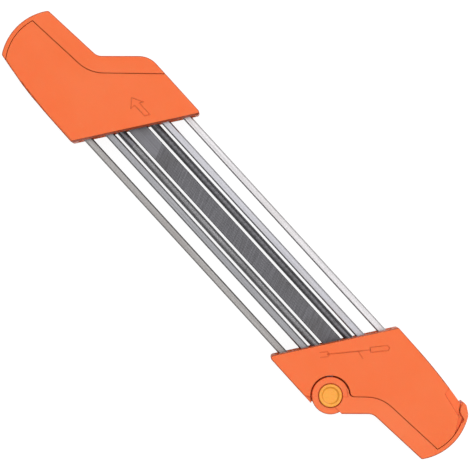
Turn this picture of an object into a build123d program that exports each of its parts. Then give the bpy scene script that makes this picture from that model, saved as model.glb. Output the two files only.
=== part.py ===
from build123d import *

import os
from math import atan2, cos, degrees, hypot, radians, sin, tan

# Chainsaw file guide: two moulded handles joined by guide rods, rails and files.
# X runs along the bars towards the lever handle, Z points to the front of the covers,
# and the tool lies on its flat back at Z = 0. Each handle is drawn on the +X side,
# and the handle without a lever is turned half round the Z axis.

# Overall sizes
overall_length = 355.0
handle_width = 68.8
handle_thickness = 24.0
mouth_spacing = 170.8
mouth_angle = 30.0

# Walls, edges and clearances
wall = 2.4
edge_radius = 0.9
mouth_corner_radius = 1.3
end_corner_radius = 1.8
belly_corner_radius = 14.0
knee_radius = 7.0
parting_knee_radius = 22.0
seam_gap = 0.35
overrun = 5.0

# Shells
split_height = 13.0
end_band = 3.0
tongue_recess = 2.6
thumb_recess = 1.6

# Outline of a handle, as shares of its length from the mouth and of its half width
belly_corner_shares = (0.2885, -0.984)
knee_shares = (0.514, -0.326)
end_low_shares = (0.939, -0.230)
end_mid_shares = (1.0, 0.326)
end_top_shares = (0.932, 0.869)
back_mid_shares = (0.700, 0.951)
back_flat_shares = (0.376, 0.994)
mouth_low_share = -0.980
mouth_top_share = 1.0

# Parting line between the cover and the side strip, as shares of the same sizes
parting_start_shares = (0.138, -0.964)
parting_knee_shares = (0.468, -0.022)
parting_end_shares = (0.967, 0.094)

# Open mouth between the bars
mouth_window_low = 5.0
mouth_window_high = 19.4
mouth_window_edge = 3.4

# Bars and files
outer_rod_offset = 26.0
outer_rod_width = 4.5
outer_rod_chamfer = 0.8
inner_rail_offset = 14.7
inner_rail_width = 4.6
inner_rail_height = 5.0
inner_rail_chamfer = 0.8
inner_rail_bottom = 11.5
bar_grip = 24.0
bar_clearance = 0.1
round_file_offset = 8.75
round_file_diameter = 4.8
round_file_reach_share = 0.8
round_file_chamfer = 0.4
flat_file_width = 10.0
flat_file_thickness = 3.0
flat_file_chamfer = 0.4
depth_gauge_setting = 0.65
file_grip = 14.6
file_clearance = 0.08

# File seats
seat_start = 4.0
seat_half_width = 12.1
seat_stop = 2.6
seat_top_gap = 0.3
seat_clearance = 0.2

# Rod blocks and dowel pins
block_wall = 1.6
block_stop = 1.6
pin_radius = 1.2
pin_clearance = 0.03
pin_setback = 4.0
pin_depth = 5.0
pin_head_room = 1.0

# Leaf springs under the covers
spring_thickness = 0.5
spring_foot_length = 5.0
spring_foot_width = 22.0
spring_foot_height = 17.5
spring_finger_width = 3.6
spring_flat_finger_width = 7.0
spring_reach = 8.0
spring_touch_gap = 0.1
spring_bend_radius = 0.9
spring_dip_share = 0.55
spring_tip_share = 0.3

# Lever and its pivot
pivot_share = 0.244
pivot_height_share = -0.6483
boss_radius = 11.1
boss_sink = 0.7
boss_plate = 3.5
lever_wall = 2.2
web_wall = 2.4
lever_gap = 0.4
boss_gap = 0.8
boss_edge = 0.7
boss_corner_radius = 2.4
arm_start_drop = 2.4
post_radius = 7.9
right_angle = 90.0
stop_angle = 112.0
hook_tip_lead = 0.9
hook_nose_span = 15.7
hook_plate_span = 9.7
hook_back_span = 14.3
hook_lip_gap = 0.6
hook_corner_radius = 1.2
hook_end_shares = (0.9468, 0.657)
hook_corner_shares = (0.936, 0.770)
nose_low_shares = (0.9055, 0.788)
nose_mid_shares = (0.873, 0.826)
nose_top_shares = (0.859, 0.901)
hook_top_shares = (0.847, 1.006)
hook_bump_shares = ((0.846, 0.880), (0.846, 0.962), (0.877, 0.962), (0.930, 0.875))
thumb_line_shares = ((0.721, 0.960), (0.727, 0.827), (0.8795, 0.748), (0.960, 0.706))

# Pivot pin, sleeve, washer and clip
pin_head_radius = 6.9
pin_head_height = 2.3
pin_head_gap = 0.45
pin_head_seat = 0.05
pin_head_edge = 0.7
pin_dish_radius = 18.0
pin_dish_depth = 0.7
pin_shank_radius = 3.0
pin_running_gap = 0.05
pin_groove_radius = 2.4
sleeve_wall = 1.5
sleeve_fit_gap = 0.02
washer_radius = 7.0
washer_thickness = 0.8
washer_gap = 0.05
washer_play = 0.2
clip_radius = 5.5
clip_thickness = 0.8
clip_gap = 0.05
clip_slot = 3.4
clip_pocket_radius = 6.4
clip_pocket_depth = 2.2

# Screws that hold the plain cover
screw_rod_gap = 8.9
screw_rod_share = 0.720
screw_end_shares = (0.855, 0.300)
screw_seat_gap = 6.9
screw_seat_share = -0.300
screw_radius = 1.5
screw_length = 16.0
screw_head_radius = 2.9
screw_head_height = 2.0
screw_head_sink = 0.8
screw_head_gap = 0.4
screw_bore_gap = 0.1
screw_thread_gap = 0.02
screw_boss_wall = 2.2
screw_slot_width = 0.9
screw_slot_depth = 1.0

# Worked-out sizes
half_width = handle_width / 2
mouth_x = mouth_spacing / 2
handle_length = overall_length / 2 - mouth_x
mouth_slope = tan(radians(mouth_angle))
far = overall_length
tongue_low = tongue_recess
tongue_high = handle_thickness - tongue_recess
file_centre = inner_rail_bottom + (0.5 - round_file_reach_share) * round_file_diameter
flat_file_bottom = inner_rail_bottom - depth_gauge_setting
outer_rod_bottom = file_centre
file_length = mouth_spacing + 2 * file_grip


def spot(shares):
    """Place on the handle for a pair of shares."""
    return (mouth_x + shares[0] * handle_length, shares[1] * half_width)


def mouth_at(y):
    """Where the slanted mouth lies at a given Y."""
    return mouth_x + y * mouth_slope


def round_corner(plan, place, radius):
    """Round the corner of a plan that lies nearest to a place."""
    corner = plan.vertices().sort_by_distance(Vector(*place))[0]
    return fillet(corner, radius)


def end_arc():
    return ThreePointArc(spot(end_low_shares), spot(end_mid_shares), spot(end_top_shares))


def handle_outline():
    """Outline that both handles share."""
    mouth_low = (mouth_at(mouth_low_share * half_width), mouth_low_share * half_width)
    mouth_top = (mouth_at(mouth_top_share * half_width), mouth_top_share * half_width)
    belly = spot(belly_corner_shares)
    knee = spot(knee_shares)
    edges = Line(mouth_low, belly)
    edges += Line(belly, knee)
    edges += Line(knee, spot(end_low_shares))
    edges += end_arc()
    edges += ThreePointArc(spot(end_top_shares), spot(back_mid_shares), spot(back_flat_shares))
    edges += Line(spot(back_flat_shares), mouth_top)
    edges += Line(mouth_top, mouth_low)
    plan = make_face(edges)
    plan = round_corner(plan, mouth_low, end_corner_radius)
    plan = round_corner(plan, mouth_top, mouth_corner_radius)
    plan = round_corner(plan, belly, belly_corner_radius)
    plan = round_corner(plan, knee, knee_radius)
    plan = round_corner(plan, spot(end_low_shares), end_corner_radius)
    return round_corner(plan, spot(end_top_shares), end_corner_radius)


def cover_zone(shift):
    """Area above the parting line and inside the end band, moved out by a shift."""
    start = spot(parting_start_shares)
    knee = spot(parting_knee_shares)
    end = spot(parting_end_shares)
    rise = atan2(knee[1] - start[1], knee[0] - start[0])
    turn = atan2(end[1] - knee[1], end[0] - knee[0])
    bisector = (rise + turn) / 2
    reach = shift / cos((rise - turn) / 2)
    corner = (knee[0] + reach * sin(bisector), knee[1] - reach * cos(bisector))
    low = (corner[0] - far * cos(rise), corner[1] - far * sin(rise))
    right = (corner[0] + far * cos(turn), corner[1] + far * sin(turn))
    above = make_face(Polyline(low, corner, right, (far, far), (-far, far), low))
    above = round_corner(above, corner, parting_knee_radius)
    arc = end_arc()
    centre = arc.arc_center
    inside = Pos(centre.X, centre.Y) * Circle(arc.radius - end_band + shift)
    inside += Pos(centre.X - far, 0) * Rectangle(2 * far, 2 * far)
    return above & inside


outline = handle_outline()
screw_places = [
    (mouth_at(outer_rod_offset) + bar_grip + screw_rod_gap, screw_rod_share * half_width),
    spot(screw_end_shares),
    (mouth_x + file_grip + seat_stop + screw_seat_gap, screw_seat_share * half_width),
]
pivot = (
    mouth_x + pivot_share * handle_length,
    pivot_height_share * half_width,
)


def around_pivot(angle, radius):
    """Place at an angle and a radius about the pivot."""
    return (
        pivot[0] + radius * cos(radians(angle)),
        pivot[1] + radius * sin(radians(angle)),
    )


def disc(radius):
    return Pos(*pivot) * Circle(radius)


def sector(low_angle, high_angle):
    """Wedge about the pivot between two angles under half a turn apart."""
    middle = (low_angle + high_angle) / 2
    return make_face(
        Polyline(
            pivot,
            around_pivot(low_angle, far),
            around_pivot(middle, 2 * far),
            around_pivot(high_angle, far),
            pivot,
        )
    )


def pivot_distance(place):
    return hypot(place[0] - pivot[0], place[1] - pivot[1])


def pivot_angle(place):
    return degrees(atan2(place[1] - pivot[1], place[0] - pivot[0]))


def rounded_slab():
    """Full handle with its front and back edges rounded."""
    slab = extrude(outline, handle_thickness)
    rims = slab.faces().sort_by(Axis.Z)[-1].edges() + slab.faces().sort_by(Axis.Z)[0].edges()
    return fillet(rims, edge_radius)


def prism(plan, low, high):
    """Plan extruded between two heights."""
    return Pos(0, 0, low) * extrude(plan, high - low)


def box_between(x0, x1, y0, y1, z0, z1):
    centre = Pos((x0 + x1) / 2, (y0 + y1) / 2, (z0 + z1) / 2)
    return centre * Box(x1 - x0, y1 - y0, z1 - z0)


def slanted_box(start, end, y0, y1, z0, z1):
    """Block whose ends lie parallel to the mouth, at distances from it along X."""
    corners = [
        (mouth_at(y0) + start, y0),
        (mouth_at(y0) + end, y0),
        (mouth_at(y1) + end, y1),
        (mouth_at(y1) + start, y1),
    ]
    return prism(make_face(Polyline(*corners, corners[0])), z0, z1)


def hand_over(shape):
    """Turn a piece of the lever side to the plain side."""
    return Rot(0, 0, 180) * shape


# Bars between the handles
def square_bar(length, width, height, chamfer_size, place):
    section = Rectangle(width, height)
    section = chamfer(section.vertices(), chamfer_size)
    bar = extrude(Plane.YZ * section, length / 2, both=True)
    return Pos(*place) * bar


def cross_hole(place, low, high):
    cutter = Cylinder(pin_radius + pin_clearance, high - low)
    return Pos(place[0], place[1], (low + high) / 2) * cutter


# Fixed bars: offset, width, bottom, height, chamfer
outer_rod = (outer_rod_offset, outer_rod_width, outer_rod_bottom, outer_rod_width, outer_rod_chamfer)
inner_rail = (inner_rail_offset, inner_rail_width, inner_rail_bottom, inner_rail_height, inner_rail_chamfer)
fixed_bars = {"outer_rod": outer_rod, "inner_rail": inner_rail}
bar_length = mouth_spacing + 2 * bar_grip


def pin_place(y):
    """Centre of the dowel pin of the bar at a given Y, in the lever handle."""
    return (mouth_at(y) + bar_grip - pin_setback, y)


def make_fixed_bars():
    bars = {}
    for name, (away, width, bottom, height, chamfer_size) in fixed_bars.items():
        for side, y in (("upper", away), ("lower", -away)):
            middle = (y * mouth_slope, y, bottom + height / 2)
            bar = square_bar(bar_length, width, height, chamfer_size, middle)
            hole = cross_hole(pin_place(y), bottom - overrun, bottom + height + overrun)
            far_hole = hand_over(cross_hole(pin_place(-y), bottom - overrun, bottom + height + overrun))
            bars[f"{name}_{side}"] = bar - hole - far_hole
    return bars


def make_round_file(y):
    rod = extrude(Plane.YZ * Circle(round_file_diameter / 2), file_length / 2, both=True)
    rod = chamfer(rod.edges().filter_by(GeomType.CIRCLE), round_file_chamfer)
    return Pos(y * mouth_slope, y, file_centre) * rod


def make_flat_file():
    place = (0, 0, flat_file_bottom + flat_file_thickness / 2)
    return square_bar(file_length, flat_file_width, flat_file_thickness, flat_file_chamfer, place)


# Shells
def bar_channels():
    """Slots in the mouth walls and inside, open from each bar up to the split."""
    gap = bar_clearance
    cuts = []
    for away, width, bottom, height, chamfer_size in fixed_bars.values():
        for y in (away, -away):
            top = max(bottom + height + gap, split_height + seam_gap)
            end = mouth_at(y) + bar_grip + gap
            cuts.append(box_between(0, end, y - width / 2 - gap, y + width / 2 + gap, bottom - gap, top))
    radius = round_file_diameter / 2 + gap
    file_end = file_grip + gap
    for y in (round_file_offset, -round_file_offset):
        end = mouth_at(y) + file_end
        barrel = Pos(end / 2, y, file_centre) * Rot(0, 90, 0) * Cylinder(radius, end)
        cuts.append(barrel)
        cuts.append(box_between(0, end, y - radius, y + radius, file_centre, split_height + seam_gap))
    half = flat_file_width / 2 + gap
    top = max(flat_file_bottom + flat_file_thickness + gap, split_height + seam_gap)
    cuts.append(box_between(0, mouth_x + file_end, -half, half, flat_file_bottom - gap, top))
    return cuts


def mouth_window():
    """Opening in the mouth wall that the bars and files pass through."""
    low = mouth_low_share * half_width + mouth_window_edge
    high = mouth_top_share * half_width - mouth_window_edge
    depth = wall / cos(radians(mouth_angle)) + seam_gap
    return slanted_box(-overrun, depth, low, high, mouth_window_low, mouth_window_high)


def rod_blocks():
    """Blocks on the base floor that hold the rod and rail ends and their pins."""
    blocks = []
    for away, width, bottom, height, chamfer_size in fixed_bars.values():
        for y in (away, -away):
            half = width / 2 + block_wall
            end = mouth_at(y) + bar_grip + block_stop
            top = split_height
            blocks.append(box_between(mouth_at(y) - half * mouth_slope, end, y - half, y + half, wall, top))
    return blocks


def seat_pocket(extra):
    return slanted_box(
        seat_start - extra,
        file_grip + seat_stop + extra,
        -seat_half_width - extra,
        seat_half_width + extra,
        wall,
        handle_thickness - wall,
    )


def pin_sockets():
    sockets = []
    for away, width, bottom, height, chamfer_size in fixed_bars.values():
        for y in (away, -away):
            top = bottom + height + pin_head_room + bar_clearance
            sockets.append(cross_hole(pin_place(y), bottom - pin_depth, top))
    return sockets


def inner_room(inset, low, high):
    return prism(offset(outline, -inset), low, high)


def screw_columns(radius, low, high):
    columns = []
    for place in screw_places:
        columns.append(Pos(place[0], place[1], (low + high) / 2) * Cylinder(radius, high - low))
    return columns


def make_plain_base(slab):
    cover_plan = cover_zone(seam_gap)
    room = inner_room(wall, wall, handle_thickness - wall)
    shell = slab - room - mouth_window()
    inside = slab & room
    for block in rod_blocks():
        shell += block & inside
    head_top = screw_head_sink + screw_head_height + screw_head_gap
    column_radius = screw_head_radius + screw_head_gap + screw_boss_wall
    for column in screw_columns(column_radius, wall, split_height):
        shell += column & inside
    shell -= prism(cover_plan, split_height, handle_thickness + overrun)
    shell -= seat_pocket(seat_clearance)
    shell -= bar_channels()
    shell -= pin_sockets()
    shell -= screw_columns(screw_radius + screw_bore_gap, -overrun, split_height + overrun)
    shell -= screw_columns(screw_head_radius + screw_head_gap, -overrun, head_top)
    return shell


def make_plain_cover(slab):
    block = slab & prism(cover_zone(0), split_height + seam_gap, handle_thickness + overrun)
    room = inner_room(wall, -overrun, handle_thickness - wall) & prism(
        cover_zone(-wall), -overrun, handle_thickness
    )
    inside = block & room
    shell = block - room - mouth_window()
    for column in screw_columns(screw_radius + screw_boss_wall, split_height + seam_gap, handle_thickness):
        shell += column & inside
    shell += spring_pad() & inside
    shell -= bar_channels()
    shell -= pin_sockets()
    screw_tip = screw_head_sink + screw_head_height + screw_length
    shell -= screw_columns(screw_radius + screw_thread_gap, -overrun, screw_tip + seam_gap)
    return shell


def arm_region(gap, top_angle):
    """Area right of the pivot that the lever's arm, web and hook take up."""
    low = pivot[1] - arm_start_drop - gap
    reach = far - pivot[0]
    corners = [
        pivot,
        (pivot[0], low),
        (far, low),
        (far, pivot[1] + reach * tan(radians(top_angle))),
    ]
    return make_face(Polyline(*corners, corners[0]))


# Hook's radii and angles about the pivot
hook_top = spot(hook_top_shares)
hook_radius = pivot_distance(spot(nose_mid_shares))
plate_radius = pivot_distance(spot(hook_corner_shares))
hook_tip_gap_angle = degrees(lever_gap / hook_radius)
hook_corner_angle = pivot_angle(hook_top)
hook_angle = hook_corner_angle - hook_tip_lead
hook_nose_low = hook_corner_angle - hook_nose_span
hook_plate_low = hook_corner_angle - hook_plate_span
hook_back = hook_corner_angle + hook_back_span


def web_band(gap):
    """Band along the outline that the lever's web fills."""
    band = (outline - offset(outline, -web_wall - gap)) & arm_region(gap, hook_angle)
    return band - (sector(hook_nose_low, hook_back) & disc(hook_radius - gap))


def hook_area():
    """Area outside the line that the hook closes on."""
    end = spot(hook_end_shares)
    corner = spot(hook_corner_shares)
    edges = ThreePointArc(spot(nose_low_shares), spot(nose_mid_shares), spot(nose_top_shares))
    edges += Polyline(spot(nose_top_shares), hook_top, (far, hook_top[1]), (far, end[1]), end)
    edges += Polyline(end, corner, spot(nose_low_shares))
    return round_corner(make_face(edges), corner, hook_corner_radius)


def parting_corner():
    """Where the parting line leaves the boss, towards its knee."""
    return around_pivot(pivot_angle(spot(parting_knee_shares)), boss_radius + boss_gap)


def lock_cover_plan(shift):
    """Raised part of the shells beside the lever."""
    plan = (outline & cover_zone(shift)) - disc(boss_radius + boss_gap - shift)
    plan = round_corner(plan, parting_corner(), boss_corner_radius)
    return plan - offset(hook_area(), hook_lip_gap) - web_band(lever_gap)


def tongue_plan():
    """Sunk part of the shells that the lever's plates pass over."""
    plan = outline - web_band(lever_gap)
    arm_low = pivot[1] - arm_start_drop - lever_gap
    below_arm = Pos(pivot[0] + far / 2, arm_low - far / 2) * Rectangle(far, far)
    swept = sector(-stop_angle, -right_angle) + below_arm
    plan -= swept - disc(post_radius)
    hook_swept = sector(hook_nose_low, hook_angle + hook_tip_gap_angle)
    return plan - (hook_swept - disc(hook_radius - lever_gap))


def lock_room(low, high):
    """Hollow inside the lever handle at the tongue's height."""
    inset = web_wall + lever_gap + wall
    plan = offset(outline, -wall)
    plan -= (outline - offset(outline, -inset)) & arm_region(lever_gap + wall, hook_back)
    plan -= disc(boss_radius + boss_gap + wall)
    hook_swept = sector(hook_nose_low, hook_back)
    plan -= hook_swept - disc(hook_radius - lever_gap - wall)
    return prism(plan, low, high)


def thumb_cut():
    """Shallow recess beside the hook for the thumb that opens it."""
    corners = [spot(shares) for shares in thumb_line_shares]
    plan = make_face(Polyline(*corners, (far, corners[-1][1]), (far, far), (corners[0][0], far), corners[0]))
    plan += outline - disc(hook_radius - lever_gap)
    return prism(plan, handle_thickness - thumb_recess, handle_thickness + overrun)


def make_lock_base(slab):
    raised = lock_cover_plan(0)
    tongue = tongue_plan()
    shell = slab & (prism(raised, 0, tongue_low) + prism(tongue, tongue_low, split_height))
    room = lock_room(tongue_low + wall, split_height + overrun)
    room += lock_room(wall, split_height + overrun) & prism(lock_cover_plan(-wall), 0, far)
    inside = shell & room
    shell -= room
    shell -= mouth_window()
    for block in rod_blocks():
        shell += block & inside
    shell -= prism(disc(boss_radius + boss_gap), -overrun, post_low)
    shell += prism(disc(post_radius), post_low, post_high)
    shell -= seat_pocket(seat_clearance)
    shell -= bar_channels()
    shell -= pin_sockets()
    bore = pin_shank_radius + pin_running_gap + sleeve_wall + sleeve_fit_gap
    shell -= prism(disc(bore), -overrun, handle_thickness)
    return shell


def make_lock_cover(slab):
    raised = lock_cover_plan(0)
    tongue = tongue_plan()
    low = split_height + seam_gap
    shell = slab & (prism(raised, tongue_high, handle_thickness) + prism(tongue, low, tongue_high))
    room = lock_room(-overrun, tongue_high - wall)
    room += lock_room(-overrun, handle_thickness - wall) & prism(lock_cover_plan(-wall), -overrun, far)
    inside = shell & room
    shell -= room
    shell -= mouth_window()
    shell += spring_pad() & inside
    shell -= prism(disc(boss_radius + boss_gap), 0, handle_thickness + overrun)
    shell -= thumb_cut()
    shell -= bar_channels()
    shell -= pin_sockets()
    return shell


# Heights of the pivot post and the lever's bosses
boss_low = boss_sink
boss_high = handle_thickness - boss_sink
post_low = boss_low + boss_plate + lever_gap
post_high = boss_high - boss_plate - washer_play - washer_gap - washer_thickness


def lever_flange():
    """Plan of the lever's plates, with the corner at the boss filled in."""
    flange = (outline - cover_zone(lever_gap)) + (outline & hook_area())
    flange = flange & arm_region(0, hook_angle)
    filled = round_corner(flange + disc(boss_radius), parting_corner(), boss_corner_radius + lever_gap)
    near_corner = Pos(*parting_corner()) * Circle(2 * boss_corner_radius)
    return flange + ((filled - disc(boss_radius - boss_edge)) & near_corner)


def lever_boss(low, high, rim):
    """Round plate of the boss with its outer edge rounded."""
    plate = prism(disc(boss_radius), low, high)
    return fillet(plate.edges().filter_by(GeomType.CIRCLE).sort_by(Axis.Z)[rim], boss_edge)


def make_lock_lever(slab):
    flange = lever_flange()
    web = web_band(0)
    bump_corners = [spot(shares) for shares in hook_bump_shares]
    bump = make_face(Polyline(*bump_corners, bump_corners[0]))
    nose = (outline + bump) & sector(hook_nose_low, hook_angle)
    lip = nose & hook_area() & sector(hook_plate_low, hook_angle)
    nose -= disc(hook_radius)
    nose_low = tongue_low + lever_gap
    nose_high = tongue_high - lever_gap
    lip_low = handle_thickness - thumb_recess + lever_gap
    plates_pass = sector(hook_plate_low, hook_back) & disc(plate_radius + lever_gap)
    plates_pass -= disc(pivot_distance(spot(parting_knee_shares)) + parting_knee_radius / 2)
    plates = prism(flange, 0, lever_wall)
    plates += prism(flange, handle_thickness - lever_wall, handle_thickness)
    lever = slab & plates
    lever += slab & prism(web, 0, handle_thickness)
    lever += prism(nose, nose_low, nose_high)
    lever -= prism(plates_pass, -overrun, nose_low)
    lever -= prism(plates_pass, nose_high, handle_thickness + overrun)
    lever += prism(lip, lip_low, handle_thickness)
    lever += lever_boss(boss_low, boss_low + boss_plate, 0)
    lever += lever_boss(boss_high - boss_plate, boss_high, -1)
    lever -= prism(disc(pin_shank_radius + pin_running_gap), -overrun, handle_thickness + overrun)
    head_floor = boss_high - pin_head_height + pin_head_edge / 2
    lever -= prism(disc(pin_head_radius + pin_head_gap), head_floor, handle_thickness + overrun)
    lever -= prism(disc(clip_pocket_radius), -overrun, boss_low + clip_pocket_depth)
    return lever


# Pieces inside the handles
def spring_pad():
    """Pad under the cover that carries the leaf spring."""
    return slanted_box(
        seat_start,
        seat_start + spring_foot_length,
        -spring_foot_width / 2,
        spring_foot_width / 2,
        spring_foot_height + spring_touch_gap,
        handle_thickness,
    )


def spring_finger(y, width, top):
    """Curved finger from the foot down to the back of one file."""
    start = mouth_at(y) + seat_start + spring_foot_length - spring_bend_radius
    low = top + spring_touch_gap
    drop = spring_foot_height - low
    path = FilletPolyline(
        (start - spring_bend_radius, spring_foot_height - spring_thickness / 2),
        (start, spring_foot_height - spring_thickness / 2),
        (start + spring_reach * spring_dip_share, low + spring_thickness / 2),
        (start + spring_reach, low + drop * spring_tip_share + spring_thickness / 2),
        radius=spring_bend_radius,
    )
    strip = trace(path, spring_thickness)
    return Pos(0, y, 0) * extrude(Plane.XZ * strip, width / 2, both=True)


def make_clamp_spring():
    spring = slanted_box(
        seat_start,
        seat_start + spring_foot_length,
        -spring_foot_width / 2,
        spring_foot_width / 2,
        spring_foot_height - spring_thickness,
        spring_foot_height,
    )
    for y in (round_file_offset, -round_file_offset):
        spring += spring_finger(y, spring_finger_width, file_centre + round_file_diameter / 2)
    return spring + spring_finger(0, spring_flat_finger_width, flat_file_bottom + flat_file_thickness)


def make_file_seat():
    """Grooved block that holds the three file ends, shut behind them."""
    gap = file_clearance
    seat = slanted_box(
        seat_start,
        file_grip + seat_stop,
        -seat_half_width,
        seat_half_width,
        wall,
        split_height - seat_top_gap,
    )
    radius = round_file_diameter / 2 + gap
    for y in (round_file_offset, -round_file_offset):
        end = mouth_at(y) + file_grip + gap
        seat -= Pos(end / 2, y, file_centre) * Rot(0, 90, 0) * Cylinder(radius, end)
        seat -= box_between(0, end, y - radius, y + radius, file_centre, handle_thickness)
    half = flat_file_width / 2 + gap
    seat -= box_between(0, mouth_x + file_grip + gap, -half, half, flat_file_bottom - gap, handle_thickness)
    return seat


def make_rod_pins():
    pins = []
    for away, width, bottom, height, chamfer_size in fixed_bars.values():
        for y in (away, -away):
            place = pin_place(y)
            low = bottom - pin_depth + pin_clearance
            high = bottom + height + pin_head_room
            pin = Cylinder(pin_radius, high - low)
            pin = chamfer(pin.edges(), pin_radius / 4)
            pins.append(Pos(place[0], place[1], (low + high) / 2) * pin)
    return pins


def make_cover_screws():
    """Pan head screws with a cross slot, driven from the back."""
    screws = []
    for place in screw_places:
        top = screw_head_sink + screw_head_height
        head = Cylinder(screw_head_radius, screw_head_height)
        head = Pos(0, 0, top - screw_head_height / 2) * head
        head = chamfer(head.edges().sort_by(Axis.Z)[0], screw_head_height / 2)
        shank = Pos(0, 0, top + screw_length / 2) * Cylinder(screw_radius, screw_length)
        slot = Box(2 * screw_radius, screw_slot_width, 2 * screw_slot_depth)
        cross = slot + Rot(0, 0, 90) * slot
        screw = head + shank - Pos(0, 0, screw_head_sink) * cross
        screws.append(Pos(place[0], place[1], 0) * screw)
    return screws


def make_pivot_pin():
    """Headed pin with a dished head and a groove for its clip."""
    head_bottom = boss_high - pin_head_height + pin_head_edge / 2 + pin_head_seat
    head_top = head_bottom + pin_head_height
    head = Pos(*pivot, (head_bottom + head_top) / 2) * Cylinder(pin_head_radius, pin_head_height)
    head = chamfer(head.edges().sort_by(Axis.Z)[-1], pin_head_edge)
    dish = Pos(*pivot, head_top - pin_dish_depth + pin_dish_radius) * Sphere(pin_dish_radius)
    clip_top = boss_low + clip_pocket_depth - clip_gap
    pin_end = clip_top - clip_thickness - washer_thickness
    shank = prism(disc(pin_shank_radius), pin_end, head_bottom)
    shank = chamfer(shank.edges().sort_by(Axis.Z)[0], pin_head_edge / 2)
    ring = disc(pin_shank_radius + overrun) - disc(pin_groove_radius)
    groove = prism(ring, clip_top - clip_thickness - clip_gap, clip_top + clip_gap)
    return head + shank - dish - groove


def make_pivot_sleeve():
    inner = pin_shank_radius + pin_running_gap
    return prism(disc(inner + sleeve_wall) - disc(inner), post_low, post_high)


def make_pivot_washer():
    low = post_high + washer_gap
    ring = disc(washer_radius) - disc(pin_shank_radius + pin_running_gap)
    return prism(ring, low, low + washer_thickness)


def make_pivot_clip():
    """Split clip that snaps into the groove of the pin."""
    top = boss_low + clip_pocket_depth - clip_gap
    ring = disc(clip_radius) - disc(pin_groove_radius + clip_gap)
    mouth = Pos(pivot[0], pivot[1] - clip_radius / 2) * Rectangle(clip_slot, clip_radius)
    return prism(ring - mouth, top - clip_thickness, top)


def save(name, shape):
    """Write one node, its solids gathered into one compound where there are several."""
    shapes = shape if isinstance(shape, (list, tuple)) else [shape]
    solids = [solid for item in shapes for solid in item.solids()]
    part = solids[0] if len(solids) == 1 else Compound(children=solids)
    part.label = name
    export_step(part, f"parts/{name}.step")


def main():
    os.makedirs("parts", exist_ok=True)
    slab = rounded_slab()
    save("plain_base", hand_over(make_plain_base(slab)))
    save("plain_cover", hand_over(make_plain_cover(slab)))
    save("lock_base", make_lock_base(slab))
    save("lock_cover", make_lock_cover(slab))
    save("lock_lever", make_lock_lever(slab))
    save("pivot_pin", make_pivot_pin())
    save("pivot_sleeve", make_pivot_sleeve())
    save("pivot_washer", make_pivot_washer())
    save("pivot_clip", make_pivot_clip())
    for name, bar in make_fixed_bars().items():
        save(name, bar)
    save("round_file_upper", make_round_file(round_file_offset))
    save("round_file_lower", make_round_file(-round_file_offset))
    save("flat_file", make_flat_file())
    save("lock_file_seat", make_file_seat())
    save("plain_file_seat", hand_over(make_file_seat()))
    save("lock_clamp_spring", make_clamp_spring())
    save("plain_clamp_spring", hand_over(make_clamp_spring()))
    save("lock_rod_pins", make_rod_pins())
    save("plain_rod_pins", [hand_over(pin) for pin in make_rod_pins()])
    save("cover_screws", [hand_over(screw) for screw in make_cover_screws()])


main()
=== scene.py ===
from math import cos, pi, radians, sin, tan

import bmesh
import bpy
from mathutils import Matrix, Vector
from mathutils.bvhtree import BVHTree


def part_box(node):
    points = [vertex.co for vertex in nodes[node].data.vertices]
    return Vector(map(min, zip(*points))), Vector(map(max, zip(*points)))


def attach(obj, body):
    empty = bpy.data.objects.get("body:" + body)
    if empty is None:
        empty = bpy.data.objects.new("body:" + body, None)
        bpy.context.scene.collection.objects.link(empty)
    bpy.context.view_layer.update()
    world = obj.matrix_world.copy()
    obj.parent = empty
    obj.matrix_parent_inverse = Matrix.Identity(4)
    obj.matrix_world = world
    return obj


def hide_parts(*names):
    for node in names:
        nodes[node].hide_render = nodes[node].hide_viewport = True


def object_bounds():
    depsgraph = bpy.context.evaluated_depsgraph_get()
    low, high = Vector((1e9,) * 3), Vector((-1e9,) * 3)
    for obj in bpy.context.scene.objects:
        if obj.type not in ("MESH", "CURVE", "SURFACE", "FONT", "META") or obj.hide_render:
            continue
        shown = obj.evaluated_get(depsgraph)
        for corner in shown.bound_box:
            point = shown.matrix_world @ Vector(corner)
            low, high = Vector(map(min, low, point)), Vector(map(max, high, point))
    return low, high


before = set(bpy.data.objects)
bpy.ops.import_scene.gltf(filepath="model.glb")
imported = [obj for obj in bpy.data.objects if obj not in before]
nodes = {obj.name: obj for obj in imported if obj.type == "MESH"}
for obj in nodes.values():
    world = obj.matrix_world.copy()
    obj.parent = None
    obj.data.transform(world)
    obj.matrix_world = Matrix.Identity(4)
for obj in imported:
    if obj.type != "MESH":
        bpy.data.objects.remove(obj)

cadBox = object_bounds()

# Camera over the tool, turned as in the photograph

cameraSet = {
    "height": 1.5,        # above the covers
    "coverTop": 0.022,
    "turn": 47.6,         # degrees
    "sensor": 36.0,
    "viewWidth": 0.2773,  # metres across at the covers
}


def linked(name, data):
    thing = bpy.data.objects.new(name, data)
    bpy.context.scene.collection.objects.link(thing)
    return thing


def makeCamera(s):
    data = bpy.data.cameras.new("toolCamera")
    data.sensor_width = s["sensor"]
    data.lens = s["sensor"] * s["height"] / s["viewWidth"]
    camera = linked("toolCamera", data)
    camera.location = (0, 0, s["height"] + s["coverTop"])
    camera.rotation_euler = (0, 0, radians(s["turn"]))
    bpy.context.scene.camera = camera


makeCamera(cameraSet)
bpy.context.scene.view_settings.view_transform = "Standard"
print("camera placed")


# Helpers for materials

def newMaterial(name):
    mat = bpy.data.materials.new(name)
    mat.use_nodes = True
    tree = mat.node_tree
    return mat, tree, tree.nodes["Principled BSDF"]


def addNode(tree, kind, **values):
    node = tree.nodes.new(kind)
    for key, value in values.items():
        setattr(node, key, value)
    return node


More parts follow.
